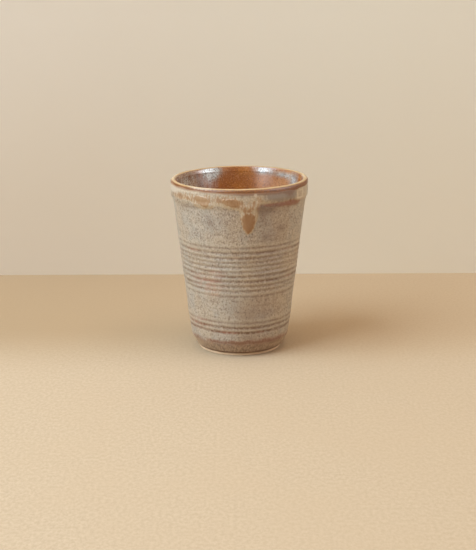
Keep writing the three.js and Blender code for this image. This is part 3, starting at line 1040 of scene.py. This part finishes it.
def cap_the_lip():
    """Turns the outline from the outer skirt over the crest, down the inside and back under it all."""
    skirt = lip_line - SKIRT
    crest = arc(lip_middle, LIP_ROUND, 0, 90, 17)
    outline = np.array([
        (lip_radius - 0.16, skirt), (lip_radius - 0.03, lip_line - 0.3), (lip_radius, lip_line + 0.3),
        *crest, *inner_shoulder(crest[-1]),
        (mouth_radius - 0.04, lip_line + 0.2), (mouth_radius - 0.07, lip_line - 0.4),
        (mouth_radius + 0.05, skirt), (mouth_radius + 0.5, skirt + 0.1),
        *arc(lip_middle, LIP_ROUND - CAP, 180, 0, 13), (lip_radius - 0.6, skirt + 0.1),
    ])
    across, level = outline[:, :1], outline[:, 1:]
    up = smooth(lip_line, rim_top, level)
    bearing = around(LIP_TURNS)
    leant = 0.27 * np.sin(bearing) - 0.1 * np.cos(bearing)
    dips = 0.11 * wander(bearing, 100.0) + 0.05 * uneven(bearing, 100.0) - 0.1 + leant
    radius = across + lean(bearing, level)
    height = level + dips * up
    fields = outside_fields(bearing, height, into_coat(bearing, height)) | inside_fields(bearing, height)
    fields["amber"] = height - amber_edge(bearing) - 0.25 * uneven(bearing, 97.0)
    # Painted highlight: the crest is a little less pale towards the back, so it shows lightest at the front
    fields["crown"] = up - 0.012 * (1 - np.cos(bearing))
    fields["inside"] = smooth(lip_middle[0] - 0.7, lip_middle[0] - 1.2, across)
    return turned("amber_lip", bearing, height, radius, fields, ["lip_glaze"], wrap_rows=True)


lip = cap_the_lip()

# %% [markdown]
# ## The speckled outside
# The body glaze is an oatmeal glaze: grey and beige in soft clouds, peppered with grains of cream and iron
# brown that the potter's pouring drew out a little downwards. One recipe gives that ground to every outside
# coat, so the colour runs on unbroken where one coat meets another.

# %% Mix the oatmeal ground
def oatmeal(finish):
    """The colour of the plain wall, and its grain as a wire from 0 to 1."""
    place = finish.place
    cloud = place.stretched(1, 1, 0.7).noise(12, detail=3)
    streak = place.stretched(1, 1, 0.5).noise(2.2, detail=3, roughness=0.6)
    grain = place.stretched(1, 1, 0.85).noise(0.85, detail=3, roughness=0.75)
    iron = place.stretched(-1.1, 1.05, 0.85).noise(0.9, detail=3, roughness=0.75)
    lines = place.stretched(0.12, 0.12, 1).noise(1.5, detail=2)
    colour = layered(
        cloud.step(0.38, 0.62).mix(tint(178, 168, 152), tint(184, 166, 141)),
        (lines.step(0.5, 0.75), 0.3, tint(208, 196, 176)),
        (lines.step(0.5, 0.25), 0.35, tint(136, 114, 98)),
        (streak.step(0.52, 0.75), 0.4, tint(208, 196, 176)),
        (streak.step(0.48, 0.28), 0.4, tint(142, 122, 110)),
        (grain.step(0.5, 0.66), 0.8, tint(224, 212, 190)),
        (iron.step(0.5, 0.34), 0.85, tint(108, 86, 72)),
        (place.specks(1.7, 0.42, 0.4), 0.7, tint(84, 64, 52)),
    )
    return colour, grain


def worked(finish, colour, grain):
    """Adds what the wall's form does to the glaze: dark grooves, pale crests, rust where it runs thin. Lays
    painted shade too.
    """
    place = finish.place
    dashes = place.stretched(0.8, 0.8, 0.5).noise(1.3, detail=3, roughness=0.7).step(0.36, 0.58)
    flush = finish.field("flush")
    groove = flush.step(0.1, 0.8).mix(tint(112, 82, 56), tint(136, 86, 60))
    trickles = place.stretched(1, 1, 0.18).noise(1.1, detail=3, roughness=0.6)
    bevel = trickles.step(0.38, 0.62).mix(tint(126, 97, 74), tint(178, 150, 122))
    bevel = layered(bevel, (finish.field("dry"), 0.75, tint(206, 178, 144)))
    heel = finish.field("heel") + (grain - 0.5) * 1.9 + (trickles - 0.5) * 0.8
    toasted = heel.step(0.3, 1.3).mix(tint(150, 100, 70), tint(118, 72, 42))
    return layered(
        colour,
        # painted shade on the wall
        (finish.field("painted_shade"), 0.78 - 0.88 * grain, tint(136, 112, 98)),
        (finish.field("grooved") * finish.patch("valley", grain, 0.7, 0.3, 0.0), 0.35, tint(200, 186, 162)),
        (finish.field("ink") * (0.28 + 0.6 * dashes), 1.3 - 0.6 * grain, groove),
        (flush * place.noise(2.4, detail=3).step(0.38, 0.6), 0.4, tint(184, 142, 120)),
        (finish.patch("rust", grain, 1.5, 0.15, 1.0), 0.9, tint(140, 85, 53)),
        (finish.patch("umber", grain, 2.0, 0.2, 1.0), 0.7, tint(112, 86, 68)),
        (finish.patch("height", grain, 1.0, 8.8, 7.0), 0.8, bevel),
        (heel.step(0.0, 1.0), 0.85, toasted),
    )


print("two recipes: the ground, and what the wall's form adds")

# %% [markdown]
# ## The cream of the rim
# Over the oatmeal the rim coat turns cream, with tan hairs that run down it and melt together into patches,
# a blue grey bloom to the right and a pale halo round the long run. It thins to nothing at its edge, so the
# recipe fades it in by distance from the edge, made uneven by the same grain.

# %% Mix the cream
def creamed(finish, colour, grain):
    """Lays the rim coat's colours over the ground, by the distance inside the coat's edge."""
    hairs = finish.place.stretched(1, 1, 0.3).noise(1.05, detail=3, roughness=0.65)
    inward = finish.field("inward") + (grain - 0.5) * 2.2 + (hairs - 0.5) * 2.2
    tan = finish.field("tan") * 1.05 + (hairs - 0.5) * 3.0
    iron = tan.step(0.6, 1.1).mix(tint(180, 142, 104), tint(157, 116, 78))
    blue = finish.field("blue") + (hairs - 0.5) * 1.5 + (grain - 0.5) * 1.4
    cream = layered(
        grain.step(0.35, 0.65).mix(tint(174, 155, 133), tint(206, 190, 164)),
        (inward.step(0.0, 0.9) * inward.step(3.2, 1.4), 0.5, tint(204, 184, 152)),
        (hairs.step(0.52, 0.68), 0.5, tint(170, 138, 106)),
        (tan.step(0.3, 0.75), 0.85, iron),
        (blue.step(0.2, 0.9), 0.85, tint(143, 130, 121)),
        (finish.patch("umber", grain, 1.3, 0.2, 0.85), 0.78, tint(132, 98, 80)),
        # pale glaze, and painted highlight where the ovals lie on the lip's crest
        (finish.patch("pale_and_painted_highlight", grain, 0.8, 0.3, 0.8), 0.75, tint(218, 205, 183)),
        (finish.patch("rust", grain, 1.3, 0.15, 1.0), 0.9, tint(142, 85, 52)),
    )
    return layered(colour, (inward.step(-0.6, 1.2), 0.95, cream))


def body_glaze_finish():
    finish = Finish("oatmeal_glaze")
    colour, grain = oatmeal(finish)
    colour = creamed(finish, worked(finish, colour, grain), grain)
    # darker at the bottom of the glaze, over the roll
    colour = layered(colour, (finish.field("height").step(2.9, 2.3), 0.9, tint(114, 78, 48)))
    bumps = grain + 0.6 * finish.place.noise(2.6, detail=2)
    return finish.finished(colour, 0.4 + 0.2 * grain, bumps, 0.035, IOR=1.55)


def rim_coat_finish():
    finish = Finish("cream_glaze")
    colour, grain = oatmeal(finish)
    colour = creamed(finish, worked(finish, colour, grain), grain)
    return finish.finished(colour, 0.3 + 0.15 * grain, grain, 0.02)


body_coat.data.materials.append(body_glaze_finish())
rim_coat.data.materials.append(rim_coat_finish())
print("recipes laid on:", body_coat.name, "and", rim_coat.name)

# %% [markdown]
# ## Amber, liner and bare clay
# The amber is a clear brown glass with iron threads. The liner is the same family, darker, with a pale blue
# haze near the rim, partly where it cooled slowly and partly painted reflection below the gleams, and the
# lip wears both. The bare foot is buff clay, sandy to the touch, a little darker where it meets the glaze.
# Gloss comes from low roughness, and depth from a second finer mottle.

# %% Mix the amber and the liner
def amber_finish():
    finish = Finish("amber_glaze")
    ground, grain = oatmeal(finish)
    threads = finish.place.stretched(1, 1, 0.22).noise(0.9, detail=3, roughness=0.6)
    amber = finish.patch("iron", threads, 1.3, 0.0, 0.9).mix(tint(178, 143, 105), tint(152, 109, 67))
    deep = finish.field("depth") + (grain - 0.5) * 0.35 + (threads - 0.5) * 0.25
    colour = layered(creamed(finish, ground, grain), (deep.step(0.02, 0.22), 0.92, amber))
    return finish.finished(colour, 0.34 + 0.1 * grain, threads, 0.012)


def browned(finish):
    """The liner's colour, and its grain. The lip wears it too, down its inside."""
    place = finish.place
    cloud = place.noise(9, detail=3)
    grain = place.noise(0.7, detail=3, roughness=0.65)
    streaks = place.stretched(1, 1, 0.25).noise(2.2, detail=3)
    # Painted reflection: the haze is whitest just under the two gleams and fades down the wall below them
    haze_and_painted_gleam = finish.field("haze_and_painted_gleam") * (1 + (grain - 0.5) * 2.6 + (streaks - 0.5) * 1.0)
    whitest_haze_and_painted_gleam = haze_and_painted_gleam.step(0.72, 1.08)
    milk = cloud.step(0.4, 0.6).mix(tint(156, 168, 164), tint(192, 199, 190))
    colour = layered(
        cloud.step(0.35, 0.65).mix(tint(156, 88, 32), tint(176, 106, 38)),
        (streaks.step(0.5, 0.75), 0.5, tint(138, 78, 38)),
        # blush, partly painted light on the inner right wall
        (finish.patch("blush_and_painted_light", streaks, 0.8, 0.2, 0.8), 0.7, tint(204, 148, 104)),
        # the haze, partly the glaze's own and partly painted reflection, whitest under the gleams
        (haze_and_painted_gleam.step(0.1, 1.1), 0.85, whitest_haze_and_painted_gleam.mix(milk, tint(226, 240, 240))),
        (grain.step(0.53, 0.66), 0.35, tint(212, 160, 112)),
        (grain.step(0.47, 0.34), 0.7 - 0.45 * whitest_haze_and_painted_gleam, tint(92, 58, 42)),
    )
    return colour, grain


def liner_finish():
    finish = Finish("brown_liner_glaze")
    colour, grain = browned(finish)
    return finish.finished(colour, 0.16 + 0.16 * grain, grain + finish.place.noise(2.5), 0.03, IOR=1.6)


amber = amber_finish()
for drop in drops:
    drop.data.materials.append(amber)
liner.data.materials.append(liner_finish())
print("recipes laid on:", liner.name, "and", len(drops), "drops")

# %% Mix the lip and the bare clay
def lip_finish():
    finish = Finish("amber_lip_glaze")
    ground, grain = oatmeal(finish)
    edge = finish.field("amber") + (grain - 0.5) * 0.9
    amber = grain.step(0.36, 0.66).mix(tint(106, 60, 6), tint(150, 88, 8))
    inside = finish.field("inside")
    crest = finish.patch("crown", grain, 0.06, 0.9, 0.97) * (1 - 0.5 * inside)
    colour = layered(
        creamed(finish, ground, grain),
        (edge.step(-1.3, -0.1), 0.7, tint(164, 116, 84)),
        (edge.step(-0.15, 0.5), 1.0, amber),
        (inside, 1.0, browned(finish)[0]),
        # the pale crest is partly the glaze breaking thin over the edge and partly painted highlight
        (crest, 0.85, tint(206, 174, 126)),
        # painted highlight on the crest at the front left and at both ends, pale glaze lower down
        (finish.patch("pale_and_painted_highlight", grain, 0.8, 0.3, 0.8), 0.6, tint(220, 202, 174)),
    )
    return finish.finished(colour, 0.5 - 0.32 * crest - 0.28 * inside, grain, 0.012, IOR=1.6)


def clay_finish():
    finish = Finish("bare_stoneware")
    sand = finish.place.noise(0.45, detail=4, roughness=0.7)
    colour = layered(
        finish.place.noise(8, detail=2).step(0.35, 0.65).mix(tint(234, 205, 168), tint(226, 195, 156)),
        (sand.step(0.5, 0.75), 0.5, tint(242, 221, 192)),
        (finish.place.specks(1.6, 0.4, 0.3), 0.8, tint(110, 74, 50)),
        # darker towards the top of the bare foot, where it meets the glaze
        (finish.field("height").step(1.1, 1.7) * finish.field("out").step(21, 23), 0.75, tint(120, 78, 46)),
    )
    return finish.finished(colour, 0.88, sand, 0.06)


lip.data.materials.append(lip_finish())
clay.data.materials.append(clay_finish())
print("finishes:", len(bpy.data.materials))
